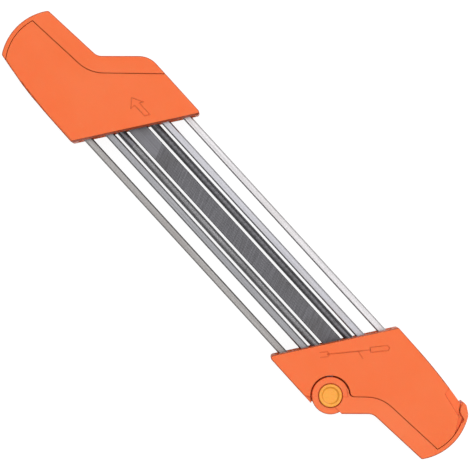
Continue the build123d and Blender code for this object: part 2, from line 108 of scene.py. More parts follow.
def objectCoords(tree, scale, turn=0.0):
    coords = addNode(tree, "ShaderNodeTexCoord")
    mapping = addNode(tree, "ShaderNodeMapping", vector_type="TEXTURE")
    mapping.inputs["Rotation"].default_value = (0, 0, radians(turn))
    mapping.inputs["Scale"].default_value = tuple(1 / value for value in scale)
    tree.links.new(coords.outputs["Object"], mapping.inputs["Vector"])
    return mapping.outputs["Vector"]


def noise(tree, vector, scale, detail, rough=0.5):
    node = addNode(tree, "ShaderNodeTexNoise")
    node.inputs["Scale"].default_value = scale
    node.inputs["Detail"].default_value = detail
    node.inputs["Roughness"].default_value = rough
    tree.links.new(vector, node.inputs["Vector"])
    return node.outputs["Fac"]


def mapped(tree, value, low, high, fromLow=0.3, fromHigh=0.7):
    node = addNode(tree, "ShaderNodeMapRange")
    node.inputs["From Min"].default_value = fromLow
    node.inputs["From Max"].default_value = fromHigh
    node.inputs["To Min"].default_value = low
    node.inputs["To Max"].default_value = high
    tree.links.new(value, node.inputs["Value"])
    return node.outputs["Result"]


def mixed(tree, factor, first, second, blend="MIX"):
    node = addNode(tree, "ShaderNodeMix", data_type="RGBA", blend_type=blend)
    for socket, value in ((6, first), (7, second)):
        if isinstance(value, tuple):
            node.inputs[socket].default_value = value
        else:
            tree.links.new(value, node.inputs[socket])
    if isinstance(factor, float):
        node.inputs[0].default_value = factor
    else:
        tree.links.new(factor, node.inputs[0])
    return node.outputs[2]


def calculated(tree, operation, *values):
    node = addNode(tree, "ShaderNodeMath", operation=operation)
    for socket, value in zip(node.inputs, values):
        if isinstance(value, (int, float)):
            socket.default_value = value
        else:
            tree.links.new(value, socket)
    return node.outputs[0]


def bumped(tree, shader, height, strength, distance, previous=None):
    node = addNode(tree, "ShaderNodeBump")
    node.inputs["Strength"].default_value = strength
    node.inputs["Distance"].default_value = distance
    tree.links.new(height, node.inputs["Height"])
    if previous:
        tree.links.new(previous, node.inputs["Normal"])
    tree.links.new(node.outputs["Normal"], shader.inputs["Normal"])
    return node.outputs["Normal"]


# Moulded plastic with a fine satin grain, soft colour drift, rubbed spots and painted shade on its sloped
# rims

shellPlastic = {
    "color": (0.93, 0.157, 0.029, 1.0),
    "driftColor": (0.94, 0.178, 0.043, 1.0),
    "driftScale": 22.0,
    "rubbedColor": (0.95, 0.235, 0.085, 1.0),
    "rubbedScale": 240.0,
    "rubbedShare": 0.35,
    # painted shade: colour darkened on sloped rims and faces, neither level nor upright
    "rimShadeColor": (0.40, 0.045, 0.010, 1.0),
    "rimShadeStrength": 0.80,
    "rimShadeTop": (0.66, 0.975),  # level faces lose the painted rim shade between these flatnesses
    "rimShadeSide": (0.05, 0.20),  # and upright ones between these
    "roughness": (0.42, 0.56),
    "roughScale": 130.0,
    "grain": 2600.0,
    "grainBump": 0.35,
    "grainDepth": 0.00003,
    "flow": 60.0,
    "flowBump": 0.12,
    "flowDepth": 0.0002,
    "specular": 0.32,
    "glow": 0.35,             # light that spreads inside the plastic and reddens its gaps
    "glowDepth": 0.003,
    "glowSpread": (1.0, 0.22, 0.08),
}
leverPlastic = dict(shellPlastic, color=(0.95, 0.172, 0.041, 1.0), driftColor=(0.96, 0.192, 0.054, 1.0))
pinPlastic = dict(
    shellPlastic,
    color=(0.93, 0.355, 0.018, 1.0),
    driftColor=(0.94, 0.385, 0.028, 1.0),
    rubbedColor=(0.95, 0.46, 0.09, 1.0),
    # painted rim shade, a darker yellow
    rimShadeColor=(0.42, 0.10, 0.012, 1.0),
    rimShadeStrength=0.75,
    roughness=(0.24, 0.38),
    grain=900.0,
    grainDepth=0.00001,
    specular=0.5,
    glow=0.2,
    glowDepth=0.001,
)
seatPlastic = dict(
    shellPlastic,
    color=(0.028, 0.028, 0.030, 1.0),
    driftColor=(0.040, 0.040, 0.042, 1.0),
    rubbedColor=(0.07, 0.07, 0.07, 1.0),
    # painted rim shade, near black
    rimShadeColor=(0.05, 0.05, 0.05, 1.0),
    rimShadeStrength=0.5,
    roughness=(0.45, 0.6),
    grain=2200.0,
    specular=0.4,
    glow=0.0,
    glowDepth=0.001,
)


def flatness(tree):
    geometry = addNode(tree, "ShaderNodeNewGeometry")
    split = addNode(tree, "ShaderNodeSeparateXYZ")
    tree.links.new(geometry.outputs["Normal"], split.inputs[0])
    return calculated(tree, "ABSOLUTE", split.outputs["Z"])


# Painted shade: share of the rim shade colour, from how far a face tilts between level and upright
def paintedRimShade(tree, s):
    height = flatness(tree)
    below = mapped(tree, height, s["rimShadeStrength"], 0.0, *s["rimShadeTop"])
    above = mapped(tree, height, 0.0, 1.0, *s["rimShadeSide"])
    return calculated(tree, "MULTIPLY", below, above)


def makePlastic(name, s):
    mat, tree, shader = newMaterial(name)
    vector = objectCoords(tree, (1, 1, 1))
    drift = mapped(tree, noise(tree, vector, s["driftScale"], 3.0), 0.0, 1.0)
    color = mixed(tree, drift, s["color"], s["driftColor"])
    spots = noise(tree, vector, s["rubbedScale"], 6.0, 0.65)
    rubbed = mapped(tree, spots, 0.0, s["rubbedShare"], 0.62, 0.80)
    color = mixed(tree, rubbed, color, s["rubbedColor"])
    # painted shade on the sloped rims
    color = mixed(tree, paintedRimShade(tree, s), color, s["rimShadeColor"])
    tree.links.new(color, shader.inputs["Base Color"])
    rough = mapped(tree, noise(tree, vector, s["roughScale"], 5.0), *s["roughness"])
    tree.links.new(rough, shader.inputs["Roughness"])
    shader.inputs["Specular IOR Level"].default_value = s["specular"]
    shader.inputs["Subsurface Weight"].default_value = s["glow"]
    shader.inputs["Subsurface Scale"].default_value = s["glowDepth"]
    shader.inputs["Subsurface Radius"].default_value = s["glowSpread"]
    grain = noise(tree, vector, s["grain"], 2.0)
    first = bumped(tree, shader, grain, s["grainBump"], s["grainDepth"])
    flow = noise(tree, vector, s["flow"], 2.0)
    bumped(tree, shader, flow, s["flowBump"], s["flowDepth"], first)
    return mat


# Steel, ground along or round its length, with painted shade on its tilted faces

rodSteel = {
    "color": (0.725, 0.70, 0.71, 1.0),
    "streakColor": (0.53, 0.52, 0.53, 1.0),
    "stainColor": (0.45, 0.42, 0.40, 1.0),
    "stainScale": 45.0,
    "stainShare": 0.45,
    "roughness": (0.26, 0.42),
    "grainScale": (14.0, 1500.0, 1500.0),
    "grainTurn": 0.0,        # degrees
    "grainBump": 0.25,
    "grainDepth": 0.00002,
    "metallic": 0.85,
    "speckle": 0.5,
    "speckScale": 1100.0,
    "speckColor": (0.42, 0.40, 0.40, 1.0),
    # painted shade on tilted faces: its strength and colour
    "sideShade": 0.4,
    "sideShadeColor": (0.20, 0.19, 0.19, 1.0),
}
# Darker copy of the rod steel for the lower rod: painted shade, the same steel as the upper rod
shadedLowRodSteel = dict(rodSteel, color=(0.385, 0.378, 0.368, 1.0), streakColor=(0.27, 0.255, 0.25, 1.0),
                   stainColor=(0.28, 0.26, 0.245, 1.0), speckColor=(0.22, 0.20, 0.19, 1.0))
railSteel = dict(rodSteel, color=(0.53, 0.525, 0.555, 1.0), streakColor=(0.395, 0.39, 0.42, 1.0),
                 speckColor=(0.36, 0.36, 0.38, 1.0))
# Darker copy of the rail steel for the lower rail: painted shade, the same steel as the upper rail
shadedLowRailSteel = dict(rodSteel, color=(0.343, 0.343, 0.357, 1.0), streakColor=(0.24, 0.24, 0.25, 1.0),
                    stainColor=(0.26, 0.255, 0.255, 1.0), speckColor=(0.21, 0.21, 0.22, 1.0))
fileSteel = dict(
    rodSteel,
    color=(0.185, 0.183, 0.197, 1.0),
    streakColor=(0.115, 0.113, 0.12, 1.0),
    stainColor=(0.095, 0.09, 0.085, 1.0),
    roughness=(0.40, 0.55),
    grainScale=(1900.0, 60.0, 900.0),
    grainTurn=24.5,
    metallic=0.75,
    speckle=0.3,
    speckColor=(0.12, 0.118, 0.125, 1.0),
    sideShade=0.0,
    sideShadeColor=(0.03, 0.03, 0.032, 1.0),
)
roundFileSteel = dict(fileSteel, color=(0.20, 0.198, 0.21, 1.0), streakColor=(0.15, 0.148, 0.158, 1.0),
                      grainScale=(40.0, 900.0, 900.0), grainTurn=0.0, sideShade=0.9)
# Lighter copy of the round file steel for the lower file: painted light, the same steel as the upper file
litLowRoundFileSteel = dict(roundFileSteel, color=(0.33, 0.328, 0.334, 1.0),
                         streakColor=(0.26, 0.258, 0.262, 1.0))
fileShankSteel = dict(fileSteel, color=(0.185, 0.184, 0.20, 1.0), streakColor=(0.13, 0.128, 0.138, 1.0),
                      grainTurn=0.0, grainScale=(20.0, 1600.0, 1600.0), roughness=(0.30, 0.42))
turnedSteel = dict(
    rodSteel,
    color=(0.55, 0.55, 0.57, 1.0),
    streakColor=(0.42, 0.42, 0.44, 1.0),
    stainColor=(0.35, 0.34, 0.33, 1.0),
    roughness=(0.25, 0.40),
    grainScale=(900.0, 900.0, 2600.0),
    metallic=0.95,
    speckle=0.3,
    speckColor=(0.40, 0.40, 0.42, 1.0),
    sideShade=0.0,
    sideShadeColor=(0.10, 0.10, 0.10, 1.0),
)
springSteel = dict(turnedSteel, color=(0.40, 0.40, 0.42, 1.0), streakColor=(0.30, 0.30, 0.33, 1.0),
                   grainScale=(60.0, 1800.0, 1800.0))
zincSteel = dict(turnedSteel, color=(0.60, 0.61, 0.63, 1.0), streakColor=(0.48, 0.49, 0.50, 1.0),
                 stainColor=(0.50, 0.48, 0.40, 1.0), grainScale=(700.0, 700.0, 700.0))


def makeSteel(name, s):
    mat, tree, shader = newMaterial(name)
    grainVector = objectCoords(tree, s["grainScale"], s["grainTurn"])
    plainVector = objectCoords(tree, (1, 1, 1))
    streaks = noise(tree, grainVector, 1.0, 4.0, 0.6)
    color = mixed(tree, mapped(tree, streaks, 0.0, 1.0), s["color"], s["streakColor"])
    clouds = noise(tree, plainVector, s["stainScale"], 5.0, 0.6)
    stains = mapped(tree, clouds, 0.0, s["stainShare"], 0.52, 0.74)
    color = mixed(tree, stains, color, s["stainColor"])
    dots = noise(tree, plainVector, s["speckScale"], 3.0, 0.7)
    specks = mapped(tree, dots, 0.0, s["speckle"], 0.42, 0.62)
    color = mixed(tree, specks, color, s["speckColor"])
    # Painted shade: faces that tilt away from level darken towards the side shade colour
    paintedSideShade = mapped(tree, flatness(tree), s["sideShade"], 0.0, 0.30, 0.95)
    color = mixed(tree, paintedSideShade, color, s["sideShadeColor"])
    tree.links.new(color, shader.inputs["Base Color"])
    tree.links.new(mapped(tree, streaks, *s["roughness"]), shader.inputs["Roughness"])
    shader.inputs["Metallic"].default_value = s["metallic"]
    bumped(tree, shader, streaks, s["grainBump"], s["grainDepth"])
    return mat


materials = {
    "shell": makePlastic("orangeShellPlastic", shellPlastic),
    "lever": makePlastic("orangeLeverPlastic", leverPlastic),
    "pin": makePlastic("yellowPinPlastic", pinPlastic),
    "seat": makePlastic("blackSeatPlastic", seatPlastic),
    "rod": makeSteel("groundRodSteel", rodSteel),
    "shadedLowRod": makeSteel("paintedShadeRodSteel", shadedLowRodSteel),
    "rail": makeSteel("groundRailSteel", railSteel),
    "shadedLowRail": makeSteel("paintedShadeRailSteel", shadedLowRailSteel),
    "file": makeSteel("toothedFileSteel", fileSteel),
    "roundFile": makeSteel("toothedRoundSteel", roundFileSteel),
    "litLowRoundFile": makeSteel("paintedLightRoundFileSteel", litLowRoundFileSteel),
    "shank": makeSteel("plainFileSteel", fileShankSteel),
    "turned": makeSteel("turnedSteel", turnedSteel),
    "spring": makeSteel("rolledSpringSteel", springSteel),
    "zinc": makeSteel("zincScrewSteel", zincSteel),
}
print("materials made:", len(materials))


def paint(names, key):
    for name in names:
        mesh = nodes[name].data
        mesh.materials.clear()
        mesh.materials.append(materials[key])


paint(["outer_rod_upper"], "rod")
# the lower rod takes a darker copy of the rod steel: painted shade
paint(["outer_rod_lower"], "shadedLowRod")
paint(["inner_rail_upper"], "rail")
# the lower rail takes a darker copy of the rail steel: painted shade
paint(["inner_rail_lower"], "shadedLowRail")
paint(["plain_file_seat", "lock_file_seat"], "seat")
paint(["plain_clamp_spring", "lock_clamp_spring", "pivot_clip"], "spring")
paint(["plain_rod_pins", "lock_rod_pins", "pivot_sleeve", "pivot_washer"], "turned")
paint(["cover_screws"], "zinc")
paint(["plain_base", "plain_cover", "lock_base", "lock_cover"], "shell")
paint(["lock_lever"], "lever")
paint(["pivot_pin"], "pin")
paint(["round_file_upper", "round_file_lower", "flat_file"], "file")


# Helpers for shapes, all in millimetres and turned to metres at the end

mm = 0.001
hardAngle = radians(35)      # edges over this angle stay sharp
weldDistance = 1e-7


def inMillimetres(box):
    return [[value / mm for value in corner] for corner in box]


def meshFromRings(name, rings):
    count = len(rings[0])
    points = [(x * mm, y * mm, z * mm) for ring in rings for x, y, z in ring]
    faces = []
    for i in range(len(rings) - 1):
        for j in range(count):
            k = (j + 1) % count
            faces.append((i * count + j, i * count + k, (i + 1) * count + k, (i + 1) * count + j))
    faces.append(tuple(reversed(range(count))))
    faces.append(tuple((len(rings) - 1) * count + j for j in range(count)))
    mesh = bpy.data.meshes.new(name)
    mesh.from_pydata(points, [], faces)
    tidyFaces(mesh)
    return mesh


def tidyFaces(mesh):
    work = bmesh.new()
    work.from_mesh(mesh)
    bmesh.ops.remove_doubles(work, verts=work.verts, dist=weldDistance)
    bmesh.ops.recalc_face_normals(work, faces=work.faces)
    work.to_mesh(mesh)
    work.free()
    mesh.polygons.foreach_set("use_smooth", [True] * len(mesh.polygons))
    mesh.set_sharp_from_angle(angle=hardAngle)
    mesh.update()


def settleModifiers(piece, name):
    graph = bpy.context.evaluated_depsgraph_get()
    graph.update()
    mesh = bpy.data.meshes.new_from_object(piece.evaluated_get(graph), depsgraph=graph)
    mesh.name = name
    piece.modifiers.clear()
    piece.data = mesh


# Engraved marks on the covers, as lines of given points

arrowMark = {
    "width": 0.44,
    "depth": 0.30,
    "lines": [
        [(-100.8, 9.6), (-94.4, 13.0), (-95.4, 10.8), (-86.2, 10.8),
         (-87.7, 8.0), (-96.3, 7.8), (-96.4, 4.9), (-100.8, 9.6)],
    ],
}
usageMark = {
    "width": 0.44,
    "depth": 0.30,
    "start": (86.1, -10.5),  # at the boss end, along the mouth
    "end": (110.6, 22.5),
    "half": 1.5,             # half the width of the fork and of the grip
    "fork": (0.10, 0.13),    # root and tip, as shares of the length, as are the next three
    "grip": (0.72, 0.97),
    "tickPlace": 0.55,
    "tickLean": 0.05,
    "tickStart": 0.4,        # share of the half width
    "tickLength": 4.6,
    "recessEdge": [(153.0, 28.2), (155.5, 27.7), (166.3, 25.6), (167.5, 25.4)],
}

# Slanted end face at the top edge of each cover's mouth, cut together with the marks

mouthSet = {
    "spacing": 170.8,        # between the mouths at the middle of the tool
    "angle": 30.0,
    "reach": 60.0,           # of the cutter, to each side
    "drop": 2.6,             # height of the slanted end face under the top edge
    "plainDepth": 0.95,      # how far that face leans back into the handle
    "lockDepth": 0.45,
    "under": 0.6,            # of the cutter, below the face
    "front": 3.0,            # of the cutter, out of the mouth
}

topFace = cadBox[1][2] / mm
cutterRise = 1.0             # of every cutter over the top face
strokeReach = 0.35           # of the width, past both ends of a stroke


def addMouthWedge(work, s, side, depth):
    lean = depth / s["drop"]
    high, low = topFace + cutterRise, topFace - s["drop"] - s["under"]
    profile = [(depth + lean * cutterRise, high), (-s["under"] * lean, low),
               (-s["front"], low), (-s["front"], high)]
    turn = radians(s["angle"])
    rings = []
    for y in (-s["reach"], s["reach"]):
        edge = side * s["spacing"] / 2 + y * tan(turn)
        rings.append([work.verts.new(((edge + side * d / cos(turn)) * mm, y * mm, z * mm))
                      for d, z in profile])
    work.faces.new(rings[0])
    work.faces.new(list(reversed(rings[1])))
    for i in range(4):
        k = (i + 1) % 4
        work.faces.new((rings[0][k], rings[0][i], rings[1][i], rings[1][k]))


def coverCutter(name, mark, lines, side, mouthDepth):
    low, high = topFace - mark["depth"], topFace + cutterRise
    work = bmesh.new()
    for line in lines:
        for first, second in zip(line, line[1:]):
            start, end = Vector(first), Vector(second)
            along = (end - start).normalized()
            across = Vector((-along.y, along.x)) * mark["width"] / 2
            reach = along * mark["width"] * strokeReach
            start, end = start - reach, end + reach
            corners = [start - across, end - across, end + across, start + across]
            bottom = [work.verts.new((c.x * mm, c.y * mm, low * mm)) for c in corners]
            top = [work.verts.new((c.x * mm, c.y * mm, high * mm)) for c in corners]
            work.faces.new(list(reversed(bottom)))
            work.faces.new(top)
            for i in range(4):
                k = (i + 1) % 4
                work.faces.new((bottom[i], bottom[k], top[k], top[i]))
    addMouthWedge(work, mouthSet, side, mouthDepth)
    mesh = bpy.data.meshes.new(name)
    bmesh.ops.recalc_face_normals(work, faces=work.faces)
    work.to_mesh(mesh)
    work.free()
    return linked(name, mesh)


def usageLines(s):
    start, end = Vector(s["start"]), Vector(s["end"])
    along = (end - start).normalized()
    across = Vector((-along.y, along.x))

    def at(t, side):
        return tuple(start + (end - start) * t + across * side)

    half = s["half"]
    forkRoot, forkTip = s["fork"]
    gripRoot, gripTip = s["grip"]
    tick = s["tickPlace"]
    return [
        [at(forkRoot, 0), at(gripRoot, 0)],
        [at(gripRoot, -half), at(gripTip, -half), at(1.0, 0), at(gripTip, half),
         at(gripRoot, half), at(gripRoot, -half)],
        [at(0.0, -half), at(forkRoot, -half), at(forkTip, 0), at(forkRoot, half), at(0.0, half)],
        [at(tick, -half * s["tickStart"]), at(tick + s["tickLean"], -s["tickLength"])],
        s["recessEdge"],
    ]


# Shells and lever: merged copies of the solids with softened edges

softSet = {
    "weld": 2e-6,            # metres, as is the next one
    "shortEdge": 2e-5,
    "flatAngle": 0.6,        # degrees, as are the next two
    "bevelAngle": 40.0,
    "sharpAngle": 38.0,
    "segments": 2,
    "normalWeight": 100,
}
shellEdge = {"key": "shell", "body": "frame", "edge": 0.13, "reach": 0.2}
edgeSet = {                  # in millimetres: width of the softening, and how far it may stray
    "plain_base": dict(shellEdge, piece="plainShellBase"),
    "plain_cover": dict(shellEdge, piece="plainShellCover"),
    "lock_base": dict(shellEdge, piece="lockShellBase"),
    "lock_cover": dict(shellEdge, piece="lockShellCover"),
    "lock_lever": {"piece": "lockingLever", "key": "lever", "body": "lever", "edge": 0.07, "reach": 0.12},
}


# Brings stray corners of a bevel back to the surface and into the node's box

def keepNear(mesh, surface, node, reach):
    low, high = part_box(node)
    strays = 0
    for vertex in mesh.vertices:
        place = vertex.co
        near = surface.find_nearest(place)
        if near[-1] > reach:
            place = near[0]
            strays += 1
        vertex.co = [min(max(value, a), b) for value, a, b in zip(place, low, high)]
    return strays


def mergedCopy(mesh, name):
    mesh = mesh.copy()
    mesh.name = name
    work = bmesh.new()
    work.from_mesh(mesh)
    bmesh.ops.remove_doubles(work, verts=work.verts, dist=softSet["weld"])
    bmesh.ops.dissolve_degenerate(work, edges=work.edges, dist=softSet["shortEdge"])
    bmesh.ops.dissolve_limit(work, angle_limit=radians(softSet["flatAngle"]),
                             verts=work.verts, edges=work.edges)
    openEdges = sum(1 for edge in work.edges if len(edge.link_faces) != 2)
    work.to_mesh(mesh)
    work.free()
    return mesh, openEdges


def cutGrooves(piece, name, cutter):
    cut = piece.modifiers.new("grooves", "BOOLEAN")
    cut.operation = "DIFFERENCE"
    cut.solver = "EXACT"
    cut.object = cutter
    cut.use_self = True
    cut.use_hole_tolerant = True
    settleModifiers(piece, name)
    bpy.data.objects.remove(cutter)


def softenNode(node, s, cutter=None):
    mesh, openEdges = mergedCopy(nodes[node].data, s["piece"])
    mesh.materials.clear()
    mesh.materials.append(materials[s["key"]])
    piece = linked(s["piece"], mesh)
    if cutter:
        cutGrooves(piece, s["piece"], cutter)
    mesh = piece.data
    surface = BVHTree.FromPolygons([vertex.co.copy() for vertex in mesh.vertices],
                                   [list(face.vertices) for face in mesh.polygons])
    bevel = piece.modifiers.new("softEdges", "BEVEL")
    bevel.width = s["edge"] * mm
    bevel.segments = softSet["segments"]
    bevel.limit_method = "ANGLE"
    bevel.angle_limit = radians(softSet["bevelAngle"])
    bevel.use_clamp_overlap = False
    settleModifiers(piece, s["piece"])
    mesh = piece.data
    strays = keepNear(mesh, surface, node, s["reach"] * mm)
    mesh.polygons.foreach_set("use_smooth", [True] * len(mesh.polygons))
    mesh.set_sharp_from_angle(angle=radians(softSet["sharpAngle"]))
    even = piece.modifiers.new("evenNormals", "WEIGHTED_NORMAL")
    even.keep_sharp = True
    even.weight = softSet["normalWeight"]
    settleModifiers(piece, s["piece"])
    print(s["piece"], "open edges:", openEdges, "strays:", strays, "faces:", len(piece.data.polygons))
    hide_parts(node)
    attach(piece, s["body"])


cutters = {
    "plain_cover": coverCutter("arrowCutter", arrowMark, arrowMark["lines"], -1, mouthSet["plainDepth"]),
    "lock_cover": coverCutter("usageCutter", usageMark, usageLines(usageMark), 1, mouthSet["lockDepth"]),
}
for node, s in edgeSet.items():
    softenNode(node, s, cutters.get(node))
print("shells dressed")


# Files: bodies with their teeth

flatFileSet = {
    "chamfer": 0.4,
    "toothHeight": 0.09,
    "toothPitch": 0.85,
    "toothSize": 0.26,       # of the bar that stands as one tooth
    "slant": 24.5,           # degrees from straight across
    "toothStart": (-67.5, 0),
    "toothEnd": 96.0,
}
roundFileSet = {
    "toothHeight": 0.05,
    "toothSize": 0.09,
    "lead": 3.6,             # along the file for one turn of one thread of teeth
    "starts": 12,
    "roundFaces": 40,
    "endEdge": 0.4,          # chamfer at both ends
    "rise": 0.3,             # length of the step up to the plain part
    "margin": 1.0,           # bare length in all at the ends of the teeth
}
barCorners = 4               # of the bars that stand as teeth
spiralSteps = 20             # for each turn


def steppedBar(name, box, chamfer, shrink):
    (x0, y0, z0), (x1, y1, z1) = inMillimetres(box)
    z0, z1 = z0 + shrink, z1 - shrink
    c = chamfer
    rings = []
    for x in (x0, x1):
        rings.append([(x, y0 + c, z0), (x, y1 - c, z0), (x, y1, z0 + c), (x, y1, z1 - c),
                      (x, y1 - c, z1), (x, y0 + c, z1), (x, y0, z1 - c), (x, y0, z0 + c)])
    return meshFromRings(name, rings)


def splitAt(mesh, place, normal, slot):
    work = bmesh.new()
    work.from_mesh(mesh)
    geometry = work.verts[:] + work.edges[:] + work.faces[:]
    spot, way = Vector(place) * mm, Vector(normal).normalized()
    bmesh.ops.bisect_plane(work, geom=geometry, plane_co=spot, plane_no=way)
    for face in work.faces:
        if (face.calc_center_median() - spot).dot(way) < 0:
            face.material_index = slot
    work.to_mesh(mesh)
    work.free()


# Geometry Nodes that grow the teeth: a row of slanted bars, and bars wound round an axis

def newTree(name, inputs):
    tree = bpy.data.node_groups.new(name, "GeometryNodeTree")
    tree.interface.new_socket("Geometry", in_out="OUTPUT", socket_type="NodeSocketGeometry")
    sockets = {}
    for label, kind in inputs.items():
        socket = tree.interface.new_socket(label, in_out="INPUT", socket_type="NodeSocket" + kind)
        sockets[label] = socket.identifier
    return tree, sockets, addNode(tree, "NodeGroupInput").outputs


def sweptBar(tree, curve, size):
    profile = addNode(tree, "GeometryNodeCurvePrimitiveCircle")
    profile.inputs["Resolution"].default_value = barCorners
    tree.links.new(size, profile.inputs["Radius"])
    sweep = addNode(tree, "GeometryNodeCurveToMesh")
    sweep.inputs["Fill Caps"].default_value = True
    tree.links.new(curve, sweep.inputs["Curve"])
    tree.links.new(profile.outputs[0], sweep.inputs["Profile Curve"])
    return sweep.outputs[0]


def finishTree(tree, geometry, finish):
    real = addNode(tree, "GeometryNodeRealizeInstances")
    painted = addNode(tree, "GeometryNodeSetMaterial")
    out = addNode(tree, "NodeGroupOutput")
    tree.links.new(geometry, real.inputs[0])
    tree.links.new(real.outputs[0], painted.inputs["Geometry"])
    tree.links.new(finish, painted.inputs["Material"])
    tree.links.new(painted.outputs[0], out.inputs[0])


def toothTree():
    tree, sockets, given = newTree("toothRow", {
        "Count": "Int", "Pitch": "Float", "Half Length": "Float", "Size": "Float",
        "Slant": "Float", "Start": "Vector", "Finish": "Material",
    })
    link = tree.links.new
    row = addNode(tree, "GeometryNodeMeshLine")
    step = addNode(tree, "ShaderNodeCombineXYZ")
    link(given["Pitch"], step.inputs["X"])
    link(given["Count"], row.inputs["Count"])
    link(given["Start"], row.inputs["Start Location"])
    link(step.outputs[0], row.inputs["Offset"])
    half = given["Half Length"]
    lean = calculated(tree, "MULTIPLY", half, given["Slant"])
    low = addNode(tree, "ShaderNodeCombineXYZ")
    link(lean, low.inputs["X"])
    link(calculated(tree, "MULTIPLY", half, -1), low.inputs["Y"])
    high = addNode(tree, "ShaderNodeCombineXYZ")
    link(calculated(tree, "MULTIPLY", lean, -1), high.inputs["X"])
    link(half, high.inputs["Y"])
    line = addNode(tree, "GeometryNodeCurvePrimitiveLine")
    link(low.outputs[0], line.inputs["Start"])
    link(high.outputs[0], line.inputs["End"])
    copies = addNode(tree, "GeometryNodeInstanceOnPoints")
    link(row.outputs[0], copies.inputs["Points"])
    link(sweptBar(tree, line.outputs[0], given["Size"]), copies.inputs["Instance"])
    finishTree(tree, copies.outputs[0], given["Finish"])
    return tree, sockets


def threadTree():
    tree, sockets, given = newTree("woundTeeth", {
        "Starts": "Int", "Turns": "Float", "Radius": "Float", "Length": "Float",
        "Size": "Float", "Start": "Vector", "Finish": "Material",
    })
    link = tree.links.new
    wind = addNode(tree, "GeometryNodeCurveSpiral")
    wind.inputs["Resolution"].default_value = spiralSteps
    link(given["Turns"], wind.inputs["Rotations"])
    link(given["Radius"], wind.inputs["Start Radius"])
    link(given["Radius"], wind.inputs["End Radius"])
    link(given["Length"], wind.inputs["Height"])
    stack = addNode(tree, "GeometryNodeMeshLine")
    stack.inputs["Offset"].default_value = (0, 0, 0)
    link(given["Starts"], stack.inputs["Count"])
    index = addNode(tree, "GeometryNodeInputIndex")
    share = calculated(tree, "DIVIDE", index.outputs[0], given["Starts"])
    spin = addNode(tree, "ShaderNodeCombineXYZ")
    link(calculated(tree, "MULTIPLY", share, 2 * pi), spin.inputs["Z"])
    copies = addNode(tree, "GeometryNodeInstanceOnPoints")
    link(stack.outputs[0], copies.inputs["Points"])
    link(sweptBar(tree, wind.outputs[0], given["Size"]), copies.inputs["Instance"])
    link(spin.outputs[0], copies.inputs["Rotation"])
    lay = addNode(tree, "GeometryNodeTransform")
    lay.inputs["Rotation"].default_value = (0, pi / 2, 0)
    link(copies.outputs[0], lay.inputs["Geometry"])
    link(given["Start"], lay.inputs["Translation"])
    finishTree(tree, lay.outputs[0], given["Finish"])
    return tree, sockets


def grownTeeth(name, treeAndSockets, values):
    tree, sockets = treeAndSockets
    piece = linked(name, bpy.data.meshes.new(name))
    grow = piece.modifiers.new("teeth", "NODES")
    grow.node_group = tree
    for label, value in values.items():
        grow[sockets[label]] = value
    settleModifiers(piece, name)
    mesh = piece.data
    bpy.data.objects.remove(piece)
    return mesh


def joinedMesh(name, parts, finishes):
    work = bmesh.new()
    for part in parts:
        work.from_mesh(part)
    mesh = bpy.data.meshes.new(name)
    work.to_mesh(mesh)
    work.free()
    for finish in finishes:
        mesh.materials.append(finish)
    mesh.set_sharp_from_angle(angle=hardAngle)
    return mesh


toothRow = toothTree()
woundTeeth = threadTree()


def makeFlatFile(s):
    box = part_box("flat_file")
    body = steppedBar("flatFileBody", box, s["chamfer"], s["toothHeight"])
    slope = tan(radians(s["slant"]))
    splitAt(body, (*s["toothStart"], 0), (1, slope, 0), 1)
    half = (box[1][1] - box[0][1]) / 2 - s["chamfer"] * mm
    startX = s["toothStart"][0] + s["toothPitch"]
    count = int((s["toothEnd"] - startX) / s["toothPitch"])
    parts = [body]
    for z in (box[1][2] / mm - s["toothSize"], box[0][2] / mm + s["toothSize"]):
        parts.append(grownTeeth("flatFileTeeth", toothRow, {
            "Count": count, "Pitch": s["toothPitch"] * mm, "Half Length": half,
            "Size": s["toothSize"] * mm, "Slant": slope,
            "Start": (startX * mm, 0, z * mm), "Finish": materials["file"],
        }))
    piece = linked("flatFile", joinedMesh("flatFile", parts, [materials["file"], materials["shank"]]))
    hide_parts("flat_file")
    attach(piece, "frame")


def makeRoundFile(node, name, s, finish, cutStart, cutEnd):
    (x0, y0, z0), (x1, y1, z1) = inMillimetres(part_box(node))
    full = (z1 - z0) / 2
    core = full - s["toothHeight"]
    cy, cz = (y0 + y1) / 2, (z0 + z1) / 2
    edge, rise, margin = s["endEdge"], s["rise"], s["margin"]
    stations = [(x0, full - edge), (x0 + edge, full)]
    if cutStart > x0 + margin:
        stations += [(cutStart, full), (cutStart + rise, core)]
    else:
        stations[-1] = (x0 + edge, core)
    if cutEnd < x1 - margin:
        stations += [(cutEnd - rise, core), (cutEnd, full), (x1 - edge, full), (x1, full - edge)]
    else:
        stations += [(x1 - edge, core), (x1, full - edge)]
    count = s["roundFaces"]
    rings = [[(x, cy + r * cos(2 * pi * i / count), cz + r * sin(2 * pi * i / count)) for i in range(count)]
             for x, r in stations]
    body = meshFromRings(name + "Body", rings)
    low, high = max(cutStart, x0 + margin), min(cutEnd, x1 - margin)
    for face in body.polygons:
        face.material_index = 0 if low < face.center.x / mm < high else 1
    length = high - low - margin
    teeth = grownTeeth(name + "Teeth", woundTeeth, {
        "Starts": s["starts"], "Turns": length / s["lead"], "Radius": (full - s["toothSize"]) * mm,
        "Length": length * mm, "Size": s["toothSize"] * mm,
        "Start": ((low + margin / 2) * mm, cy * mm, cz * mm), "Finish": materials[finish],
    })
    piece = linked(name, joinedMesh(name, [body, teeth], [materials[finish], materials["shank"]]))
    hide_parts(node)
    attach(piece, "frame")


makeFlatFile(flatFileSet)
makeRoundFile("round_file_upper", "roundFileUpper", roundFileSet, "roundFile", -200, 81.4)
# the lower file takes a lighter copy of the round file steel: painted light
makeRoundFile("round_file_lower", "roundFileLower", roundFileSet, "litLowRoundFile", -79.6, 200)
print("files cut")


# Pivot pin: dished yellow head on a grooved shank

